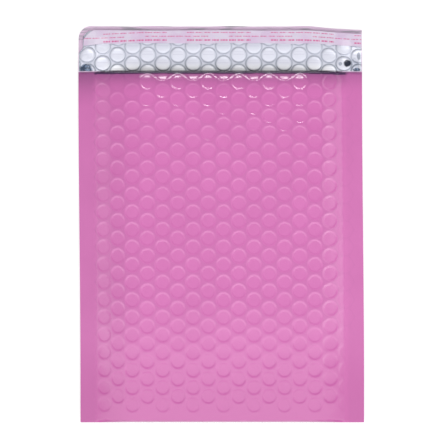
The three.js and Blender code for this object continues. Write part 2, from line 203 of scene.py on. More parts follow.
# Painted dark reflections on the folds at the mouth's two ends: middle, half sizes and depth of tone
DARK_REFLECTIONS = [
    (-84.8, 97.0, 4.3, 3.9, 0.95),
    (85.8, 96.8, 2.6, 1.4, 0.9),
    (87.0, 105.4, 1.2, 2.6, 0.6),
    (84.5, 100.0, 3.4, 4.6, 0.3),
    (75.5, 100.6, 1.2, 1.2, 0.5),
]
DEEPEST_REFLECTION = (79.9, 100.9, 2.5, 2.5, 1.0)

# Painted shade on the film's front, as a share of deep plum in its tone, and how far each painted
# shade reaches
HEM_SHADE = 0.93
HEM_WIDTH = 1.4
HEM_FADE = 0.35
HEM_LOSS_ON_SEAL = 0.5
MOUTH_SHADE = 0.55
MOUTH_SHADE_REACH = 15.0
MOUTH_SHADE_RIGHT_LOSS = 0.4
MOUTH_SHADE_LEFT_GAIN = 0.7
SEAL_SHADE_START = 1.0
SEAL_SHADE_FADE = 2.0
LEFT_SEAL_SHADE = 0.1
RIGHT_SEAL_SHADE = 0.05
FOLD_SHADE = 0.05
FOLD_SHADE_REACH = 65.0

# Closure strips
LINER_LOW_Y = 113.7
LINER_HIGH_Y = 121.9
LINER_LIFT = 0.3
LINER_THICKNESS = 0.15
LINER_INSET = 3.4
ADHESIVE_MARGIN = 1.0
ADHESIVE_LIFT = 0.05
ADHESIVE_THICKNESS = 0.12
ADHESIVE_INSET = 4.5
STRIP_RIGHT_INSET = 0.25
STRIP_PARTS_ALONG = 320
STRIP_PARTS_ACROSS = 24
STRIP_SAG = 1.5
STRIP_SAG_REACH = 16.0
STRIP_CORNER = 5.6
STRIP_CORNER_REACH = 7.5
STRIP_BUBBLE_SAG = 0.22
STRIP_BUBBLE_REACH = 1.2

# Gentle waves along edges: height, stretch and start of each
FLAP_EDGE_WAVES = [(0.16, 7.6, 0.8), (0.1, 3.9, 0)]
HEM_WAVES = [(0.12, 5.1, 0), (0.08, 2.3, 1)]
STRIP_LOW_WAVES = [(0.22, 9.1, 0), (0.12, 4.3, 1)]
STRIP_HIGH_WAVES = [(0.1, 11.3, 2)]

# Plain print on the liner: distance down, half height and start of each row, then its rhythm
PRINT_ROWS = [(1.3, 0.28, -74.8), (3.7, 0.28, -47.7), (6.1, 0.5, -74.8)]
GROUP_PITCH = 53.0
GROUP_SHARE = 0.77
BAR_PITCH = 5.3
BAR_SHARE = 0.84
BAR_START = 1.7
TICK_PITCH = 1.9
TICK_SHARE = 0.6
TICK_START = 1.3
TICK_DEPTH = 0.5
PRINT_DROOP = 1.5
PRINT_DROOP_REACH = 45.0
PITCHES_BEFORE = 100
INK_DEPTH = 0.9

# Linear colours
FILM_TONES = [(0.640, 0.170, 0.452, 1), (0.668, 0.181, 0.474, 1)]
# Painted shade: a deeper pink towards the fold
FILM_SHADED_AT_FOLD = (0.60, 0.135, 0.41, 1)
# Painted shade between the dimples
WEB_SHADE_PINK = (0.585, 0.158, 0.42, 1)
# Painted shade for the hem, the mouth, the seals and the fold
SHADE_PLUM = (0.03, 0.02, 0.06, 1)
FLAP_INSIDE = (0.77, 0.57, 0.75, 1)
FLAP_STREAK = (0.45, 0.40, 0.47, 1)
SILVER = (0.76, 0.77, 0.87, 1)
# Painted light that cancels the front panel's shadow near the mouth
SILVER_PAINTED_LIGHT = (0.97, 0.97, 1.0, 1)
# Painted shade at bubble walls, between bubbles and under the liner
SILVER_SHADE = (0.50, 0.51, 0.61, 1)
BUBBLE_OUTLINE = (0.2, 0.24, 0.30, 1)
# Painted reflections of the lamps across each bubble's top
BUBBLE_REFLECTION_LINES = (0.45, 0.42, 0.58, 1)
# Painted dark reflections in the folds at the mouth's ends
DARK_REFLECTION_TONES = [(0.025, 0.05, 0.10, 1), (0.19, 0.27, 0.42, 1)]
DEEPEST_REFLECTION_TONE = (0.008, 0.012, 0.035, 1)
# Painted shade where the lining passes into the pocket
POCKET_EDGE_SHADE = (0.10, 0.06, 0.12, 1)
LINER_TONES = [(0.65, 0.51, 0.69, 1), (0.67, 0.60, 0.73, 1)]
INK = (0.62, 0.09, 0.28, 1)
ADHESIVE_TONE = (0.78, 0.74, 0.66, 1)
FLOOR_TONE = (0.55, 0.55, 0.55, 1)
WHITE = (1, 1, 1, 1)

# Where the film's tones change, with painted shade towards the fold and between the dimples: distances
# along Y, radii from a bubble's centre, and depths
FOLD_TONE_START = -62.0
FOLD_TONE_END = -112.0
FILM_WEB_RADII = (4.6, 5.3)
WEB_TONE_START = -85.0
WEB_TONE_END = -50.0
WEB_TONE_LEAST = 0.1
WEB_TONE_GAIN = 0.55

# Where the lining's painted light and shade change: two distances past the mouth or the liner's lower
# edge
SHADOW_RANGE = (7.0, 1.0)
OUTLINE_RANGE = (1.0, 12.0)
POCKET_RANGE = (1.3, 0.7)
UNDER_LINER_RANGE = (-6.0, 1.0)
MOUTH_TONE_START_X = 66.0
MOUTH_TONE_END_X = 78.0

# Marks on each bubble of the lining, with painted shade and painted reflections: middle and half
# width, or two radii
SOFT_RING = (BUBBLE_RADIUS - 0.5, 1.3)
OUTLINE_RING = (BUBBLE_RADIUS - 0.1, 0.8)
# Painted reflections of the lamps: two lines across each bubble's top
MIDDLE_LINE = (0.3, 0.35)
UPPER_LINE = (2.0, 0.3)
LINES_RADIUS = 3.4
LINING_WEB_RADII = (4.9, 5.5)

# Depths of the lining's tones, most of them painted shade or painted reflection
SOFT_RING_DEPTH = 0.35
LINING_WEB_DEPTH = 0.3
UNDER_LINER_DEPTH = 0.5
OUTLINE_DEPTH = 0.4
OUTLINE_MOUTH_GAIN = 0.35
UPPER_LINE_SHARE = 0.6
LINES_DEPTH = 0.35

# Noise: its scale and detail, and the two values between which it changes a tone
FILM_CLOUD = (35, 3)
FILM_CLOUD_RANGE = (0.35, 0.65)
FLAP_STREAKS = (60, 2)
FLAP_STREAK_RANGE = (0.5, 0.68)
FLAP_STREAK_STRETCH = (1, 9, 1)
REFLECTION_MOTTLE = (700, 1)
REFLECTION_MOTTLE_RANGE = (0.42, 0.72)
LINER_CLOUD = (90, 2)
LINER_CLOUD_RANGE = (0.35, 0.65)
RAGGED_EDGE = (420, 2)
RAGGED_EDGE_DEPTH = 0.5
RAGGED_EDGE_RANGE = (0.95, 1.35)

# Finish of each material
FILM_ROUGHNESS = 0.13
FILM_SPECULAR = 0.5
LINING_ROUGHNESS = 0.3
LINING_METALLIC = 0.1
LINER_ROUGHNESS = 0.3
ADHESIVE_ROUGHNESS = 0.35
FLOOR_ROUGHNESS = 0.9

# Lamps: bands overhead, between two angles from the zenith in degrees, with their radiance
LAMP_DISTANCE = 3.0
BAND_WIDTH = 10.4
CEILING_BANDS = [
    ("top_band", -4, 4.8, 0.6),
    ("low_band", 4.8, 10.5, 1.3),
    ("bright_band", 10.5, 27.5, 2.5),
    ("far_band", 27.5, 47, 1.5),
]

# Other lamps: direction, size and power
SOFTBOXES = [
    ("east_softbox", (1.0, -0.1, 0.49), (3.4, 1.2), 20),
    ("west_softbox", (-1.0, -0.1, 0.49), (3.4, 1.2), 9),
    ("north_strip", (0.1, 0.53, 1.0), (1.5, 0.2), 20),
]
WORLD_STRENGTH = 0.15

# Floor and camera, in metres
FLOOR_SIZE = 6
FLOOR_Z = -0.0003
FLOOR_GLOW = 0.6
FRAME_WIDTH = 0.2785
SENSOR_WIDTH_MM = 36
CAMERA_PLACE = (-0.0003, 0.0022, 1.5)


def ease_out(distance, reach):
    return np.sin(np.clip(distance / reach, 0, 1) * math.pi / 2)


def smooth(distance, reach):
    share = np.clip(distance / reach, 0, 1)
    return share * share * (3 - 2 * share)


def waves(x, parts):
    return sum(height * np.sin(x / stretch + start) for height, stretch, start in parts)


# Pillow shape: the solids' formulas, with the few sizes that depart from theirs

def from_seal(x):
    """Distance inwards from the nearer side seal."""
    return SLEEVE_HALF - RIGHT_SEAL_EXTRA * (x > 0) - np.abs(x)


def pillow_share(x, y):
    return ease_out(from_seal(x), SHOULDER_REACH) * ease_out(y - FOLD_Y, FOLD_REACH)


def crest_height(y):
    rise = (BELLY_HEIGHT - FOLD_HEIGHT) * ease_out(y - FOLD_Y, BELLY_REACH)
    fall = (BELLY_HEIGHT - MOUTH_HEIGHT) * (1 - ease_out(MOUTH_Y - y, MOUTH_REACH))
    return FOLD_HEIGHT + rise - fall


def front_height(x, y):
    """Web level of the front panel, with the mouth's edge rolled down."""
    edge = SEAL_MIDDLE + SEALED_THICKNESS / 2
    share = pillow_share(x, y)
    inward = MOUTH_Y - y
    curl = MOUTH_CURL * (1 - ease_out(inward, MOUTH_CURL_REACH))
    dip = curl + MOUTH_ROLL * (1 - ease_out(inward, MOUTH_ROLL_REACH))
    return edge + (crest_height(y) - dip - edge) * share


def back_height(x, y):
    settle = smooth(y - MOUTH_Y, FLAP_LENGTH)
    edge = SEAL_MIDDLE - SEALED_THICKNESS / 2
    lift = edge + (FLAP_SIDE_LIFT - edge) * settle
    return lift * (1 - pillow_share(x, y))


def lining_floor(x, y):
    return back_height(x, y) + FILM_THICKNESS + CLEARANCE


def flap_sag(x):
    """How far the flap's right end sags towards the mouth."""
    return EDGE_DROP * smooth(x - (HALF_WIDTH - EDGE_DROP_REACH), EDGE_DROP_REACH)


def flap_edge_y(x):
    """The flap's edge: rounded at the left corner, sagging at the right end, faintly wavy."""
    inside = np.clip(-HALF_WIDTH + CORNER_RADIUS - x, 0, CORNER_RADIUS)
    corner = CORNER_RADIUS - np.sqrt(np.maximum(CORNER_RADIUS ** 2 - inside ** 2, 0))
    return FLAP_Y - FLAP_EDGE_INSET + waves(x, FLAP_EDGE_WAVES) - flap_sag(x) - corner


def flap_warp(x, y):
    """Moves flap points so that the straight cut edge follows the flap's real edge."""
    share = np.clip((y - MOUTH_Y) / FLAP_LENGTH, 0, None)
    return np.where(y > MOUTH_Y, MOUTH_Y + share * (flap_edge_y(x) - MOUTH_Y), y)


# Bubble lattice

def nearest_bubble(x, y, first_x, first_y):
    """Distance from each point to the nearest bubble's centre, its offset, and the centre."""
    best = np.full(np.shape(x), np.inf)
    out = [np.zeros(np.shape(x)) for _ in range(4)]
    base = np.floor((x - first_x) / COLUMN_SPACING)
    for step in (0, 1):
        column = base + step
        centre_x = first_x + column * COLUMN_SPACING
        shift = (np.mod(column, 2)) * ROW_PITCH / 2
        row = np.round((y - first_y - shift) / ROW_PITCH)
        centre_y = first_y + shift + row * ROW_PITCH
        distance = np.hypot(x - centre_x, y - centre_y)
        closer = distance < best
        best = np.where(closer, distance, best)
        for store, value in zip(out, (x - centre_x, y - centre_y, centre_x, centre_y)):
            store[closer] = value[closer]
    return best, *out


def scatter(a, b, seed):
    """A repeatable value from 0 to 1 for each place. The long factors only mix up the digits."""
    value = np.sin(a * 12.9898 + b * 78.233 + seed * 37.719) * 43758.5453
    return value - np.floor(value)


def dimple_profile():
    """Radii and depths of a dimple: a nearly flat face, a quick turn up and a soft shoulder."""
    r = np.linspace(0, DIMPLE_RADIUS, PROFILE_STEPS)
    past_face = r - FACE_RADIUS
    face = FACE_SLOPE * np.clip(r / FACE_RADIUS, 0, 1)
    rise = smooth(past_face, RIM_TURN)
    fall = 1 - smooth(past_face - RIM_WIDTH, DIMPLE_RADIUS - FACE_RADIUS - RIM_WIDTH)
    slope = face * fall + (RIM_SLOPE - FACE_SLOPE) * rise * fall
    depth = np.cumsum(slope) * (r[1] - r[0])
    return r, depth - depth[-1]


PROFILE_RADII, PROFILE_DEPTHS = dimple_profile()


def dimple_relief(x, y, height_share):
    """Shallow dishes that the film sinks into over each bubble."""
    r, dx, dy, cx, cy = nearest_bubble(x, y, FILM_FIRST_X, FILM_FIRST_Y)
    strength = DIMPLE_LEAST + DIMPLE_SPREAD * scatter(cx, cy, 1)
    lean_x = DIMPLE_LEAN * (scatter(cx, cy, 2) - 0.5)
    lean_y = DIMPLE_LEAN * (scatter(cx, cy, 4) - 0.5)
    inside = 1 - smooth(r - FACE_RADIUS, DIMPLE_RADIUS - FACE_RADIUS)
    dish = strength * np.interp(r, PROFILE_RADII, PROFILE_DEPTHS)
    relief = dish + (lean_x * dx + lean_y * dy) * inside
    return relief * height_share(cx, cy) * smooth(from_seal(x), DIMPLE_SIDE_FADE)


def fade_in(distance, fade):
    start, reach = fade
    return smooth(distance - start, reach)


def front_relief_share(cx, cy):
    """Bubbles fade out where the seals and the fold flatten them."""
    side = fade_in(SLEEVE_HALF - np.abs(cx), FRONT_SIDE_FADE)
    return side * fade_in(cy - FOLD_Y, FOLD_FADE)


def back_relief_share(cx, cy):
    side = fade_in(SLEEVE_HALF - np.abs(cx), BACK_SIDE_FADE)
    return BACK_STRENGTH * side * fade_in(cy - FOLD_Y, FOLD_FADE) * fade_in(FLAP_Y - cy, FLAP_FADE)


def painted_front_shade(x, y):
    """Depth of the painted shade in the front's tone: most on the rolled hem, less near the mouth, on
    the seals and at the fold.
    """
    inward = MOUTH_Y - y
    seal = smooth(np.abs(x) - SLEEVE_HALF + SEAL_SHADE_START, SEAL_SHADE_FADE)
    left = seal * (x < 0)
    right = seal * (x > 0)
    reach = MOUTH_SHADE_REACH * (1 + MOUTH_SHADE_LEFT_GAIN * left)
    mouth_depth = MOUTH_SHADE * (1 - MOUTH_SHADE_RIGHT_LOSS * right)
    shade_near_mouth = mouth_depth * (1 - ease_out(inward, reach))
    shade_near_fold = FOLD_SHADE * (1 - smooth(y - FOLD_Y, FOLD_SHADE_REACH))
    on_seal = LEFT_SEAL_SHADE * left + RIGHT_SEAL_SHADE * right
    shade = 1 - (1 - shade_near_mouth) * (1 - shade_near_fold) * (1 - on_seal)
    past_hem = smooth(inward - HEM_WIDTH - waves(x, HEM_WAVES), HEM_FADE)
    hem = HEM_SHADE * (1 - past_hem) * (1 - HEM_LOSS_ON_SEAL * seal)
    return np.maximum(shade, hem)


# Meshes

class Plan:
    """Flat mesh over the XY plane that heights are later given to."""

    def __init__(self, first_x, first_y, low, high, rings, plain_rings, is_fine):
        first_column = int((low[0] - first_x) // COLUMN_SPACING) - 1
        end_column = int((high[0] - first_x) // COLUMN_SPACING) + 2
        far, close, up = 2 * COLUMN_SPACING / 3, COLUMN_SPACING / 3, ROW_PITCH / 2
        half_cell = [(far, 0), (close, up), (-close, up)]
        corners = np.array(half_cell + [(-x, -y) for x, y in half_cell])
        steps = np.arange(SIDE_PARTS)[:, None] / SIDE_PARTS
        next_corners = np.roll(corners, -1, axis=0)
        rim = np.concatenate([a + (b - a) * steps for a, b in zip(corners, next_corners)])
        rays = rim / np.linalg.norm(rim, axis=1)[:, None]
        points, faces = [], []
        count = 0
        for column in range(first_column, end_column):
            x = first_x + column * COLUMN_SPACING
            shift = (column % 2) * ROW_PITCH / 2
            first_row = int((low[1] - first_y - shift) // ROW_PITCH) - 1
            end_row = int((high[1] - first_y - shift) // ROW_PITCH) + 2
            for row in range(first_row, end_row):
                y = first_y + shift + row * ROW_PITCH
                radii = rings if is_fine(x, y) else plain_rings
                layers = [rays * radius for radius in radii] + [rim]
                points.append(np.concatenate([[(0, 0)], *layers]) + (x, y))
                faces += self.cell_faces(len(layers), len(rim), count)
                count += 1 + len(layers) * len(rim)
        points = np.concatenate(points)
        keys = np.round(points / NEAR).astype(np.int64)
        _, first, where = np.unique(keys, axis=0, return_index=True, return_inverse=True)
        where = where.reshape(-1)
        self.bm = bmesh.new()
        made = [self.bm.verts.new((px, py, 0)) for px, py in points[first]]
        for face in faces:
            self.bm.faces.new([made[where[index]] for index in face])

    @staticmethod
    def cell_faces(layers, around, start):
        faces = []
        for i in range(around):
            j = (i + 1) % around
            faces.append((start, start + 1 + i, start + 1 + j))
            for layer in range(layers - 1):
                inner = start + 1 + layer * around
                outer = inner + around
                faces.append((inner + i, outer + i, outer + j, inner + j))
        return faces

    def cut(self, axis, value, keep=None):
        """Adds a line across the mesh, and keeps one side only where keep is 'low' or 'high'."""
        point, normal = Vector((0, 0, 0)), Vector((0, 0, 0))
        point[axis], normal[axis] = value, 1
        geometry = self.bm.verts[:] + self.bm.edges[:] + self.bm.faces[:]
        bmesh.ops.bisect_plane(
            self.bm, geom=geometry, plane_co=point, plane_no=normal, dist=CUT_GAP,
            clear_outer=keep == "low", clear_inner=keep == "high")

    def trim(self, half, low_y, high_y):
        """Keeps what lies within half of the middle line, and between low_y and high_y."""
        self.cut(0, half, "low")
        self.cut(0, -half, "high")
        self.cut(1, low_y, "high")
        self.cut(1, high_y, "low")

    def add_lines(self, axis, values):
        for value in values:
            self.cut(axis, value)

    def read(self):
        """Points as an array, faces as tuples of indices, and the middle of each face."""
        self.bm.verts.index_update()
        points = np.array([vert.co[:2] for vert in self.bm.verts])
        faces = [tuple(vert.index for vert in face.verts) for face in self.bm.faces]
        middles = np.array([points[list(face)].mean(axis=0) for face in faces])
        self.bm.free()
        return points, faces, middles


def outer_edges(faces):
    """Directed edges that only one of the faces has."""
    edges = {}
    for face in faces:
        for a, b in zip(face, face[1:] + face[:1]):
            if edges.pop((b, a), None) is None:
                edges[(a, b)] = True
    return list(edges)


def choose(faces, mask):
    return [face for face, chosen in zip(faces, mask) if chosen]


def is_along(edge, y, level):
    """Whether both ends of an edge lie on the line at that level."""
    return all(abs(y[index] - level) < NEAR for index in edge)


class Build:
    """Gathers sheets of one piece and makes its mesh."""

    def __init__(self):
        self.plan = []
        self.inner = []
        self.shade = []
        self.points = []
        self.faces = []
        self.count = 0

    def sheet(self, plan, points, faces, flip=False, inner=0, shade=None):
        """Adds the used points and the faces, and returns the new index of each point."""
        used = sorted({index for face in faces for index in face})
        place = {index: self.count + order for order, index in enumerate(used)}
        self.plan.append(plan[used])
        self.inner.append(np.full(len(used), inner, dtype=np.float32))
        self.shade.append(np.zeros(len(used)) if shade is None else shade[used])
        self.points.append(points[used])
        self.count += len(used)
        for face in faces:
            moved = tuple(place[index] for index in face)
            self.faces.append(moved[::-1] if flip else moved)
        return place

    def wall(self, edges, low, high):
        """Joins two sheets along edges of the upper one."""
        for a, b in edges:
            self.faces.append((low[a], low[b], high[b], high[a]))

    def mesh(self, name, first_x, first_y, share):
        """Makes the mesh.

        Its "bubble" attribute holds each corner's offset from its bubble's centre, and how far that
        bubble is formed.
        """
        points = np.concatenate(self.points) * MM
        mesh = bpy.data.meshes.new(name)
        mesh.from_pydata(points.tolist(), [], self.faces)
        plan = np.concatenate(self.plan)
        sizes = np.array([len(face) for face in self.faces])
        corners = np.concatenate([np.array(face) for face in self.faces])
        owner = np.repeat(np.arange(len(sizes)), sizes)
        sums = np.zeros((len(sizes), 2))
        np.add.at(sums, owner, plan[corners])
        middle = sums / sizes[:, None]
        _, _, _, centre_x, centre_y = nearest_bubble(middle[:, 0], middle[:, 1], first_x, first_y)
        centre = np.stack([centre_x, centre_y], axis=1)[owner]
        offset = plan[corners] - centre
        values = np.concatenate([offset, share(centre[:, 0], centre[:, 1])[:, None]], axis=1)
        store = mesh.attributes.new("bubble", "FLOAT_VECTOR", "CORNER")
        store.data.foreach_set("vector", values.astype(np.float32).reshape(-1))
        for label, parts in (("inner", self.inner), ("shade", self.shade)):
            store = mesh.attributes.new(label, "FLOAT", "POINT")
            store.data.foreach_set("value", np.concatenate(parts).astype(np.float32))
        return mesh


def show(name, mesh, material, node, sharp_angle=SHARP_ANGLE):
    mesh.shade_smooth()
    mesh.set_sharp_from_angle(angle=math.radians(sharp_angle))
    piece = bpy.data.objects.new(name, mesh)
    bpy.context.scene.collection.objects.link(piece)
    mesh.materials.append(material)
    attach(piece, "root")
    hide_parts(node)
    return piece


def skewed(x, y):
    """Leans the sides a little, to the right at the folded end. The bubbles still run straight."""
    trim = np.where(x < 0, LEFT_TRIM, -RIGHT_TRIM)
    lean = SKEW * (smooth(MOUTH_Y - y, SKEW_REACH) - SKEW_AT_MOUTH)
    return x + (trim + lean) * smooth(np.abs(x) - TRIM_START, TRIM_REACH)


def stack(x, y, z):
    return np.stack([skewed(x, y), y, z], axis=-1).reshape(-1, 3)


def place_key(x, y):
    return round(x, PLACE_DIGITS), round(y, PLACE_DIGITS)


def is_fine_film(x, y):
    in_rows = FOLD_Y + FINE_FROM_FOLD < y < MOUTH_Y + FINE_PAST_MOUTH
    return in_rows and abs(x) < SLEEVE_HALF + FINE_PAST_SEAL


def film_plan(rings, high_y):
    """Plan of a film panel: round bubbles inside, and a plain border that is the same for both."""
    low, high = (-HALF_WIDTH, FOLD_Y), (HALF_WIDTH, high_y)
    plan = Plan(FILM_FIRST_X, FILM_FIRST_Y, low, high, rings, FILM_PLAIN_RINGS, is_fine_film)
    plan.trim(HALF_WIDTH, FOLD_Y, high_y)
    right = SLEEVE_HALF - RIGHT_SEAL_EXTRA
    plan.add_lines(0, [-SLEEVE_HALF, SEAL_TURN - SLEEVE_HALF, right - SEAL_TURN, right])
    plan.add_lines(1, [FOLD_Y + step for step in FOLD_LINES])
    plan.add_lines(0, [step - HALF_WIDTH for step in LEFT_EDGE_LINES])
    plan.add_lines(1, [MOUTH_Y - step for step in MOUTH_LINES])
    points, faces, middles = plan.read()
    return points[:, 0], points[:, 1], faces, middles


def mouth_stretch(x, y):
    """How far the first bubbles behind the mouth are pulled towards the folded end."""
    inward = MOUTH_Y - y
    fade = 1 - smooth(inward - MOUTH_STRETCH_END, MOUTH_STRETCH_FADE)
    along = smooth(inward, MOUTH_STRETCH_RISE) * fade
    return MOUTH_STRETCH * along * smooth(SLEEVE_HALF - np.abs(x), MOUTH_STRETCH_SIDE)


def film_piece(material):
    front_x, front_y, front_faces, front_middles = film_plan(FRONT_RINGS, MOUTH_Y)
    x, y, faces, middles = film_plan(BACK_RINGS, FLAP_Y)
    flap_y = flap_warp(x, y)
    seen_y = front_y - mouth_stretch(front_x, front_y)
    relief = dimple_relief(front_x, front_y, front_relief_share)
    front_z = front_height(front_x, seen_y) + relief
    back_z = np.maximum(back_height(x, y) - dimple_relief(x, y, back_relief_share), 0)
    half_way = (front_z + back_height(front_x, front_y)) / 2
    lip_z = np.maximum(front_z - FILM_EDGE, half_way + TOUCH_GAP)
    over_z = front_height(x, y) + dimple_relief(x, y, front_relief_share)
    over_z = np.where(y < MOUTH_Y, over_z, FAR_ABOVE)
    inside_z = np.minimum(back_z + FILM_EDGE, (over_z + back_z) / 2 - TOUCH_GAP)

    build = Build()
    front_plan = np.stack([front_x, front_y], axis=1)
    back_plan = np.stack([x, y], axis=1)
    shade = painted_front_shade(front_x, seen_y)
    top = build.sheet(front_plan, stack(front_x, seen_y, front_z), front_faces, shade=shade)
    bottom = build.sheet(back_plan, stack(x, flap_y, back_z), faces, flip=True)

    # The front's outer points stand over the back's, so the two sheets join there
    place = {place_key(px, py): index for index, (px, py) in enumerate(back_plan)}
    rim_edges = outer_edges(front_faces)
    under = {index: bottom[place[place_key(front_x[index], front_y[index])]]
             for edge in rim_edges for index in edge
             if abs(front_x[index]) > HALF_WIDTH - NEAR or front_y[index] < FOLD_Y + NEAR}
    mouth_edges = [edge for edge in rim_edges if is_along(edge, front_y, MOUTH_Y)]
    joined_edges = [edge for edge in rim_edges if not is_along(edge, front_y, MOUTH_Y)]
    build.wall(joined_edges, under, top)

    lip_start = MOUTH_Y - LIP_DEPTH
    lip_faces = choose(front_faces, front_middles[:, 1] > lip_start)
    lip = build.sheet(front_plan, stack(front_x, seen_y, lip_z), lip_faces, flip=True, inner=1)
    build.wall(mouth_edges, lip, top)

    inside_faces = choose(faces, middles[:, 1] > lip_start)
    inside = build.sheet(back_plan, stack(x, flap_y, inside_z), inside_faces, inner=1)
    flap_edges = [edge for edge in outer_edges(faces) if max(y[list(edge)]) > MOUTH_Y + NEAR]
    build.wall(flap_edges, bottom, inside)
    mesh = build.mesh("outer_film_sheet", FILM_FIRST_X, FILM_FIRST_Y, front_relief_share)
    return show("outer_film_sheet", mesh, material, "outer_film")


def bubble_relief(x, y):
    """Raised bubbles with steep walls and nearly flat tops."""
    r, _, _, cx, cy = nearest_bubble(x, y, LINING_FIRST_X, LINING_FIRST_Y)
    share = np.clip(r / BUBBLE_RADIUS, 0, 1)
    rise = BUBBLE_RISE * (BUBBLE_LEAST + BUBBLE_SPREAD * scatter(cx, cy, 3))
    return rise * (1 - share ** WALL_POWER) ** TOP_POWER


def crumple(x, y):
    """Dents where the lining bunches at the two ends of the mouth."""
    across = np.maximum(HALF_WIDTH - CRUMPLE_EDGE - np.abs(x), 0) / CRUMPLE_REACH
    along = (y - MOUTH_Y - CRUMPLE_FROM_MOUTH) / CRUMPLE_REACH
    turns_x, bend_x, quick_x = CRUMPLE_X
    turns_y, bend_y, quick_y = CRUMPLE_Y
    folds = np.sin(x * turns_x + bend_x * np.sin(y * quick_x))
    folds = folds * np.sin(y * turns_y + bend_y * np.sin(x * quick_y))
    return CRUMPLE_DEPTH * (1 - smooth(np.hypot(across, along), 1.0)) * (folds - 1) / 2


def is_fine_lining(x, y):
    return y > MOUTH_Y - FINE_LINING_REACH


def formed(x, y):
    """Every bubble of the lining is fully formed."""
    return np.ones(len(x))


def lining_piece(material):
    half = HALF_WIDTH - LINING_EDGE_GAP
    fold_y = FOLD_Y + LINING_FOLD_GAP
    inner_fold_y = fold_y + LINING_THICKNESS
    front_end = MOUTH_Y - LINING_FRONT_INSET
    flap_start = MOUTH_Y + LINING_FLAP_START
    low, high = (-half, fold_y), (half, FLAP_Y)
    plan = Plan(LINING_FIRST_X, LINING_FIRST_Y, low, high,
                LINING_RINGS, LINING_PLAIN_RINGS, is_fine_lining)
    plan.trim(half, fold_y, FLAP_Y - LINING_MARGIN)
    plan.add_lines(0, [LINING_HALF, -LINING_HALF])
    plan.add_lines(1, [inner_fold_y, front_end, flap_start])
    points, faces, middles = plan.read()
    x, y = points.T
    in_sleeve = np.abs(middles[:, 0]) < LINING_HALF
    kept = in_sleeve | (middles[:, 1] > flap_start)
    front = in_sleeve & (middles[:, 1] < front_end)
    inner = middles[:, 1] > inner_fold_y
    sink = LINING_SINK * smooth(y - MOUTH_Y, LINING_SINK_REACH)
    relief = bubble_relief(x, y)
    floor = lining_floor(x, y) - sink
    thick = LINING_BASE + sink
    flap_y = flap_warp(x, y)
    ceiling = front_height(x, y) - FILM_EDGE - LINING_ROOF_GAP
    middle = np.where(y < MOUTH_Y, (floor + ceiling) / 2, FAR_ABOVE)
    bubble_top = np.minimum(floor + thick + relief + crumple(x, y), middle - LEAST_GAP)
    bubble_bottom = np.maximum(ceiling - LINING_BASE - relief, middle + LEAST_GAP)
    reach_x, reach_y = CORNER_INSET_REACH
    near_liner = smooth(y - LINER_LOW_Y + CORNER_INSET_START, reach_y)
    flap_x = x + CORNER_INSET * near_liner * (1 - smooth(x + HALF_WIDTH, reach_x))

    build = Build()
    under = build.sheet(points, stack(flap_x, flap_y, floor), choose(faces, kept), flip=True)
    bubbles = build.sheet(points, stack(flap_x, flap_y, bubble_top), choose(faces, kept & inner))
    roof = build.sheet(points, stack(x, y, ceiling), choose(faces, front))
    hanging_faces = choose(faces, front & inner)
    hanging = build.sheet(points, stack(x, y, bubble_bottom), hanging_faces, flip=True)

    def rim(mask, at_fold):
        """Outer edges of the chosen faces, either those along the inner fold or all the others."""
        edges = outer_edges(choose(faces, mask))
        return [edge for edge in edges if is_along(edge, y, inner_fold_y) == at_fold]

    build.wall(rim(kept & ~inner, False), under, roof)
    build.wall(rim(kept & inner, False), under, bubbles)
    build.wall(rim(front & inner, False), hanging, roof)
    build.wall([edge[::-1] for edge in rim(front & inner, True)], bubbles, hanging)
    mesh = build.mesh("bubble_lining_sheet", LINING_FIRST_X, LINING_FIRST_Y, formed)
    return show("bubble_lining_sheet", mesh, material, "bubble_lining",
                SHARP_ANGLE_LINING)


def strip_top(x, y):
    """Level that the closure strips lie on: the tops of the bubbles under them, smoothed."""
    level = lining_floor(x, y) + LINING_BASE + BUBBLE_RISE
    r, _, _, _, _ = nearest_bubble(x, y, LINING_FIRST_X, LINING_FIRST_Y)
    share = np.clip(r / BUBBLE_RADIUS, 0, STRIP_BUBBLE_REACH)
    return level - STRIP_BUBBLE_SAG * share ** 2


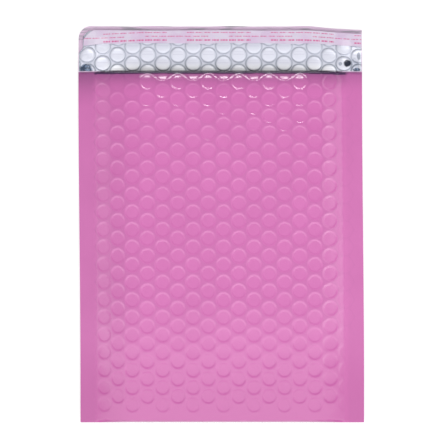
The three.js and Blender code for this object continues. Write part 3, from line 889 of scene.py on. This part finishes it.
def strip_piece(name, material, node, low_y, high_y, lift, thickness, inset):
    """A thin strip across the flap: rounded at the left corner, sagging at the right end."""
    left, right = -HALF_WIDTH + inset, HALF_WIDTH - STRIP_RIGHT_INSET
    u = np.linspace(0, 1, STRIP_PARTS_ALONG + 1)
    v = np.linspace(0, 1, STRIP_PARTS_ACROSS + 1)
    grid_u, grid_v = np.meshgrid(u, v, indexing="ij")
    x = left + (right - left) * grid_u
    sag = STRIP_SAG * (1 - smooth(x - left, STRIP_SAG_REACH))
    corner = STRIP_CORNER * (1 - ease_out(x - left, STRIP_CORNER_REACH))
    low = low_y + waves(x, STRIP_LOW_WAVES) - sag
    high = high_y + waves(x, STRIP_HIGH_WAVES) - corner
    y = low + (high - low) * grid_v
    top = strip_top(x, y) + lift + thickness
    place = np.arange(x.size).reshape(x.shape)
    quads = [place[:-1, :-1], place[1:, :-1], place[1:, 1:], place[:-1, 1:]]
    quads = [tuple(quad) for quad in np.stack(quads, axis=-1).reshape(-1, 4).tolist()]
    faces = quads + [tuple(index + x.size for index in quad[::-1]) for quad in quads]
    faces += [(b, a, a + x.size, b + x.size) for a, b in outer_edges(quads)]
    flat = np.stack([skewed(x, y), y - flap_sag(x)], axis=-1)
    upper = np.concatenate([flat, top[..., None]], axis=-1).reshape(-1, 3)
    lower = upper - (0, 0, thickness)
    mesh = bpy.data.meshes.new(name)
    mesh.from_pydata((np.concatenate([upper, lower]) * MM).tolist(), [], faces)
    down = high_y - y - PRINT_DROOP * (1 - smooth(x - left, PRINT_DROOP_REACH))
    strip = np.stack([x, down, np.zeros_like(x)], axis=-1).reshape(-1, 3)
    store = mesh.attributes.new("strip", "FLOAT_VECTOR", "POINT")
    store.data.foreach_set("vector", np.concatenate([strip, strip]).astype(np.float32).reshape(-1))
    return show(name, mesh, material, node, SHARP_ANGLE_LINING)


# Materials

def new_material(name):
    material = bpy.data.materials.new(name)
    material.use_nodes = True
    nodes = material.node_tree.nodes
    return material, nodes, material.node_tree.links, nodes["Principled BSDF"]


def attribute_parts(nodes, links):
    """Offsets from the bubble's centre in mm, their length, and how far the bubble is formed."""
    source = nodes.new("ShaderNodeAttribute")
    source.attribute_name = "bubble"
    parts = nodes.new("ShaderNodeSeparateXYZ")
    links.new(source.outputs["Vector"], parts.inputs[0])
    flat = nodes.new("ShaderNodeCombineXYZ")
    links.new(parts.outputs[0], flat.inputs[0])
    links.new(parts.outputs[1], flat.inputs[1])
    length = nodes.new("ShaderNodeVectorMath")
    length.operation = "LENGTH"
    links.new(flat.outputs[0], length.inputs[0])
    return parts.outputs[0], parts.outputs[1], length.outputs["Value"], parts.outputs[2]


def object_place(nodes, links):
    """Place on the object in metres, whole and as x and y."""
    place = nodes.new("ShaderNodeTexCoord").outputs["Object"]
    parts = nodes.new("ShaderNodeSeparateXYZ")
    links.new(place, parts.inputs[0])
    return place, parts.outputs[0], parts.outputs[1]


def noise(nodes, links, place, scale, detail):
    node = nodes.new("ShaderNodeTexNoise")
    node.inputs["Scale"].default_value = scale
    node.inputs["Detail"].default_value = detail
    links.new(place, node.inputs["Vector"])
    return node.outputs["Fac"]


def math_node(nodes, links, operation, *values):
    node = nodes.new("ShaderNodeMath")
    node.operation = operation
    for socket, value in zip(node.inputs, values):
        if isinstance(value, (int, float)):
            socket.default_value = value
        else:
            links.new(value, socket)
    return node.outputs[0]


def band(nodes, links, value, middle, half_width):
    """1 at the middle, falling to 0 at half_width either side."""
    away = math_node(nodes, links, "ABSOLUTE", math_node(nodes, links, "SUBTRACT", value, middle))
    share = math_node(nodes, links, "DIVIDE", away, half_width)
    share = math_node(nodes, links, "MINIMUM", share, 1.0)
    return math_node(nodes, links, "SUBTRACT", 1.0, share)


def ramp(nodes, links, value, low, high):
    """0 at low, 1 at high, and smooth between."""
    node = nodes.new("ShaderNodeMapRange")
    node.interpolation_type = "SMOOTHSTEP"
    links.new(value, node.inputs["Value"])
    node.inputs["From Min"].default_value = low
    node.inputs["From Max"].default_value = high
    return node.outputs["Result"]


def mix_colour(nodes, links, factor, first, second):
    node = nodes.new("ShaderNodeMix")
    node.data_type = "RGBA"
    links.new(factor, node.inputs["Factor"])
    for socket, value in ((node.inputs[6], first), (node.inputs[7], second)):
        if isinstance(value, tuple):
            socket.default_value = value
        else:
            links.new(value, socket)
    return node.outputs[2]


def attribute(nodes, name):
    node = nodes.new("ShaderNodeAttribute")
    node.attribute_name = name
    return node.outputs["Fac"]


def film_material():
    material, nodes, links, shader = new_material("pink_film")
    place, _, y = object_place(nodes, links)
    tone = nodes.new("ShaderNodeValToRGB")
    for element, position, colour in zip(tone.color_ramp.elements, FILM_CLOUD_RANGE, FILM_TONES):
        element.position = position
        element.color = colour
    links.new(noise(nodes, links, place, *FILM_CLOUD), tone.inputs["Fac"])
    # Painted shade: a deeper pink towards the fold
    shade_near_fold = ramp(nodes, links, y, FOLD_TONE_START * MM, FOLD_TONE_END * MM)
    base = mix_colour(nodes, links, shade_near_fold, tone.outputs["Color"], FILM_SHADED_AT_FOLD)

    # Painted shade: the film is a little deeper in tone between the dimples, less so towards the fold
    _, _, r, share = attribute_parts(nodes, links)
    web = math_node(nodes, links, "MULTIPLY", ramp(nodes, links, r, *FILM_WEB_RADII), share)
    web_shade_strength = ramp(nodes, links, y, WEB_TONE_START * MM, WEB_TONE_END * MM)
    web_shade_strength = math_node(nodes, links, "MULTIPLY_ADD", web_shade_strength, WEB_TONE_GAIN, WEB_TONE_LEAST)
    web = math_node(nodes, links, "MULTIPLY", web, web_shade_strength)
    base = mix_colour(nodes, links, web, base, WEB_SHADE_PINK)
    # Painted shade: the rolled hem, the mouth, the seals and the fold darken towards deep plum
    base = mix_colour(nodes, links, attribute(nodes, "shade"), base, SHADE_PLUM)

    # Inside of the flap: greyed pink with darker streaks along the edge
    streak_place = nodes.new("ShaderNodeMapping")
    streak_place.inputs["Scale"].default_value = FLAP_STREAK_STRETCH
    links.new(place, streak_place.inputs["Vector"])
    streak = noise(nodes, links, streak_place.outputs["Vector"], *FLAP_STREAKS)
    streak = ramp(nodes, links, streak, *FLAP_STREAK_RANGE)
    grey = mix_colour(nodes, links, streak, FLAP_INSIDE, FLAP_STREAK)
    base = mix_colour(nodes, links, attribute(nodes, "inner"), base, grey)
    links.new(base, shader.inputs["Base Color"])
    shader.inputs["Roughness"].default_value = FILM_ROUGHNESS
    shader.inputs["Specular IOR Level"].default_value = FILM_SPECULAR
    return material


def lining_material():
    material, nodes, links, shader = new_material("silver_lining")
    _, dy, r, _ = attribute_parts(nodes, links)
    place, x, y = object_place(nodes, links)

    def along_y(origin, distances):
        start, end = distances
        return ramp(nodes, links, y, (origin + start) * MM, (origin + end) * MM)

    # Painted light near the mouth against the front panel's shadow; painted shade at bubble walls,
    # between bubbles and under the liner
    across = math_node(nodes, links, "ABSOLUTE", x)
    across = ramp(nodes, links, across, MOUTH_TONE_END_X * MM, MOUTH_TONE_START_X * MM)
    painted_light_near_mouth = math_node(nodes, links, "MULTIPLY", along_y(MOUTH_Y, SHADOW_RANGE), across)
    base = mix_colour(nodes, links, painted_light_near_mouth, SILVER, SILVER_PAINTED_LIGHT)
    soft_ring = band(nodes, links, r, *SOFT_RING)
    soft_ring = math_node(nodes, links, "MULTIPLY", soft_ring, SOFT_RING_DEPTH)
    web = ramp(nodes, links, r, *LINING_WEB_RADII)
    web = math_node(nodes, links, "MULTIPLY", web, LINING_WEB_DEPTH)
    shade_under_liner = along_y(LINER_LOW_Y, UNDER_LINER_RANGE)
    shade_under_liner = math_node(nodes, links, "MULTIPLY", shade_under_liner, UNDER_LINER_DEPTH)
    lining_shade = math_node(nodes, links, "MAXIMUM", soft_ring, web)
    lining_shade = math_node(nodes, links, "MAXIMUM", lining_shade, shade_under_liner)
    base = mix_colour(nodes, links, lining_shade, base, SILVER_SHADE)

    # Outline of each bubble, made stronger near the mouth by painted shade, and painted reflections as
    # fine lines across it
    shade_near_mouth = math_node(nodes, links, "SUBTRACT", 1.0, along_y(MOUTH_Y, OUTLINE_RANGE))
    depth = math_node(nodes, links, "MULTIPLY_ADD", shade_near_mouth, OUTLINE_MOUTH_GAIN, OUTLINE_DEPTH)
    ring = band(nodes, links, r, *OUTLINE_RING)
    ring = math_node(nodes, links, "MULTIPLY", ring, depth)
    base = mix_colour(nodes, links, ring, base, BUBBLE_OUTLINE)
    faint_reflection = band(nodes, links, dy, *UPPER_LINE)
    faint_reflection = math_node(nodes, links, "MULTIPLY", faint_reflection, UPPER_LINE_SHARE)
    reflection_lines = math_node(nodes, links, "MAXIMUM", band(nodes, links, dy, *MIDDLE_LINE), faint_reflection)
    on_top = math_node(nodes, links, "LESS_THAN", r, LINES_RADIUS)
    reflection_lines = math_node(nodes, links, "MULTIPLY", reflection_lines, on_top)
    reflection_lines = math_node(nodes, links, "MULTIPLY", reflection_lines, LINES_DEPTH)
    base = mix_colour(nodes, links, reflection_lines, base, BUBBLE_REFLECTION_LINES)

    # Painted dark reflections on the folds at the mouth's two ends
    mottle = noise(nodes, links, place, *REFLECTION_MOTTLE)
    mottle = ramp(nodes, links, mottle, *REFLECTION_MOTTLE_RANGE)
    reflected_dark = mix_colour(nodes, links, mottle, *DARK_REFLECTION_TONES)
    for fold in DARK_REFLECTIONS:
        base = mix_colour(nodes, links, dark_reflection_patch(nodes, links, place, *fold), base, reflected_dark)
    deepest_reflection = dark_reflection_patch(nodes, links, place, *DEEPEST_REFLECTION)
    base = mix_colour(nodes, links, deepest_reflection, base, DEEPEST_REFLECTION_TONE)

    # Painted shade: a dark line where the lining passes into the pocket
    pocket_shade = along_y(MOUTH_Y, POCKET_RANGE)
    pocket_shade = math_node(nodes, links, "MULTIPLY", pocket_shade, across)
    base = mix_colour(nodes, links, pocket_shade, base, POCKET_EDGE_SHADE)
    links.new(base, shader.inputs["Base Color"])
    shader.inputs["Roughness"].default_value = LINING_ROUGHNESS
    shader.inputs["Metallic"].default_value = LINING_METALLIC
    return material


def dark_reflection_patch(nodes, links, place, x, y, reach_x, reach_y, depth):
    """A ragged oval patch of painted dark reflection, where the silvered backing folds."""
    move = nodes.new("ShaderNodeMapping")
    move.vector_type = "TEXTURE"
    move.inputs["Location"].default_value = (x * MM, y * MM, 0)
    move.inputs["Scale"].default_value = (reach_x * MM, reach_y * MM, 1)
    links.new(place, move.inputs["Vector"])
    length = nodes.new("ShaderNodeVectorMath")
    length.operation = "LENGTH"
    links.new(move.outputs["Vector"], length.inputs[0])
    ragged = noise(nodes, links, place, *RAGGED_EDGE)
    ragged = math_node(nodes, links, "MULTIPLY", ragged, RAGGED_EDGE_DEPTH)
    away = math_node(nodes, links, "ADD", length.outputs["Value"], ragged)
    away = ramp(nodes, links, away, *RAGGED_EDGE_RANGE)
    fade = math_node(nodes, links, "SUBTRACT", 1.0, away)
    return math_node(nodes, links, "MULTIPLY", fade, depth)


def repeat_mask(nodes, links, value, start, pitch, share):
    """1 over the first share of each pitch. Counting from well before start keeps it positive."""
    past_start = math_node(nodes, links, "SUBTRACT", value, start - PITCHES_BEFORE * pitch)
    turns = math_node(nodes, links, "DIVIDE", past_start, pitch)
    return math_node(nodes, links, "LESS_THAN", math_node(nodes, links, "FRACT", turns), share)


def liner_material():
    """Pale release film with three rows of plain bars in groups."""
    material, nodes, links, shader = new_material("release_film")
    source = nodes.new("ShaderNodeAttribute")
    source.attribute_name = "strip"
    parts = nodes.new("ShaderNodeSeparateXYZ")
    links.new(source.outputs["Vector"], parts.inputs[0])
    along, down = parts.outputs[0], parts.outputs[1]
    print_mask = None
    for row_down, half_height, start in PRINT_ROWS:
        off_row = math_node(nodes, links, "SUBTRACT", down, row_down)
        off_row = math_node(nodes, links, "ABSOLUTE", off_row)
        row = math_node(nodes, links, "LESS_THAN", off_row, half_height)
        group = repeat_mask(nodes, links, along, start, GROUP_PITCH, GROUP_SHARE)
        bar = repeat_mask(nodes, links, along, start * BAR_START, BAR_PITCH, BAR_SHARE)
        tick = repeat_mask(nodes, links, along, start * TICK_START, TICK_PITCH, TICK_SHARE)
        tick = math_node(nodes, links, "MULTIPLY_ADD", tick, TICK_DEPTH, 1 - TICK_DEPTH)
        bar = math_node(nodes, links, "MULTIPLY", bar, tick)
        mask = math_node(nodes, links, "MULTIPLY", row, group)
        mask = math_node(nodes, links, "MULTIPLY", mask, bar)
        if print_mask is not None:
            mask = math_node(nodes, links, "MAXIMUM", print_mask, mask)
        print_mask = mask
    place, _, _ = object_place(nodes, links)
    cloud = noise(nodes, links, place, *LINER_CLOUD)
    cloud = ramp(nodes, links, cloud, *LINER_CLOUD_RANGE)
    film = mix_colour(nodes, links, cloud, *LINER_TONES)
    ink = math_node(nodes, links, "MULTIPLY", print_mask, INK_DEPTH)
    links.new(mix_colour(nodes, links, ink, film, INK), shader.inputs["Base Color"])
    shader.inputs["Roughness"].default_value = LINER_ROUGHNESS
    return material


def adhesive_material():
    material, nodes, links, shader = new_material("clear_adhesive")
    shader.inputs["Base Color"].default_value = ADHESIVE_TONE
    shader.inputs["Roughness"].default_value = ADHESIVE_ROUGHNESS
    return material


film_piece(film_material())
lining_piece(lining_material())
strip_piece(
    "adhesive_layer", adhesive_material(), "adhesive_strip",
    LINER_LOW_Y + ADHESIVE_MARGIN, LINER_HIGH_Y - ADHESIVE_MARGIN,
    ADHESIVE_LIFT, ADHESIVE_THICKNESS, ADHESIVE_INSET)
strip_piece(
    "release_film_strip", liner_material(), "release_liner",
    LINER_LOW_Y, LINER_HIGH_Y, LINER_LIFT, LINER_THICKNESS, LINER_INSET)


# Stage

def add_stage():
    """A floor that looks white and takes the object's shadow."""
    bpy.ops.mesh.primitive_plane_add(size=FLOOR_SIZE)
    floor = bpy.context.object
    floor.name = "floor"
    material, nodes, links, shader = new_material("floor_white")
    shader.inputs["Base Color"].default_value = FLOOR_TONE
    shader.inputs["Roughness"].default_value = FLOOR_ROUGHNESS
    shader.inputs["Emission Color"].default_value = WHITE
    path = nodes.new("ShaderNodeLightPath")
    seen = path.outputs["Is Camera Ray"]
    for ray in ("Is Glossy Ray", "Is Transmission Ray"):
        seen = math_node(nodes, links, "MAXIMUM", seen, path.outputs[ray])
    glow = math_node(nodes, links, "MULTIPLY", seen, FLOOR_GLOW)
    links.new(glow, shader.inputs["Emission Strength"])
    floor.data.materials.append(material)
    floor.location.z = FLOOR_Z


def area_light(name, direction, size, power):
    """A flat lamp that shines on the object from the given direction."""
    lamp = bpy.data.lights.new(name, "AREA")
    lamp.shape = "RECTANGLE"
    lamp.size, lamp.size_y = size
    lamp.energy = power
    holder = bpy.data.objects.new(name, lamp)
    bpy.context.scene.collection.objects.link(holder)
    way = Vector(direction).normalized()
    holder.location = way * LAMP_DISTANCE
    holder.rotation_euler = (-way).to_track_quat("-Z", "Y").to_euler()


def ceiling_band(name, near, far, radiance):
    """A wide lamp overhead, between two angles from the zenith towards the folded end."""
    middle = math.radians((near + far) / 2)
    depth = 2 * LAMP_DISTANCE * math.tan(math.radians(far - near) / 2)
    power = radiance * math.pi * BAND_WIDTH * depth
    area_light(name, (0, -math.sin(middle), math.cos(middle)), (BAND_WIDTH, depth), power)


def add_lights():
    for lamp in CEILING_BANDS:
        ceiling_band(*lamp)
    for lamp in SOFTBOXES:
        area_light(*lamp)
    world = bpy.context.scene.world or bpy.data.worlds.new("studio")
    bpy.context.scene.world = world
    world.use_nodes = True
    back = world.node_tree.nodes["Background"]
    back.inputs["Color"].default_value = WHITE
    back.inputs["Strength"].default_value = WORLD_STRENGTH


def add_camera():
    """Straight down, framed as the photograph is."""
    camera = bpy.data.cameras.new("camera")
    camera.sensor_width = SENSOR_WIDTH_MM
    camera.lens = SENSOR_WIDTH_MM * CAMERA_PLACE[2] / FRAME_WIDTH
    holder = bpy.data.objects.new("camera", camera)
    holder.location = CAMERA_PLACE
    bpy.context.scene.collection.objects.link(holder)
    bpy.context.scene.camera = holder


add_stage()
add_lights()
add_camera()
bpy.context.scene.view_settings.view_transform = "Standard"
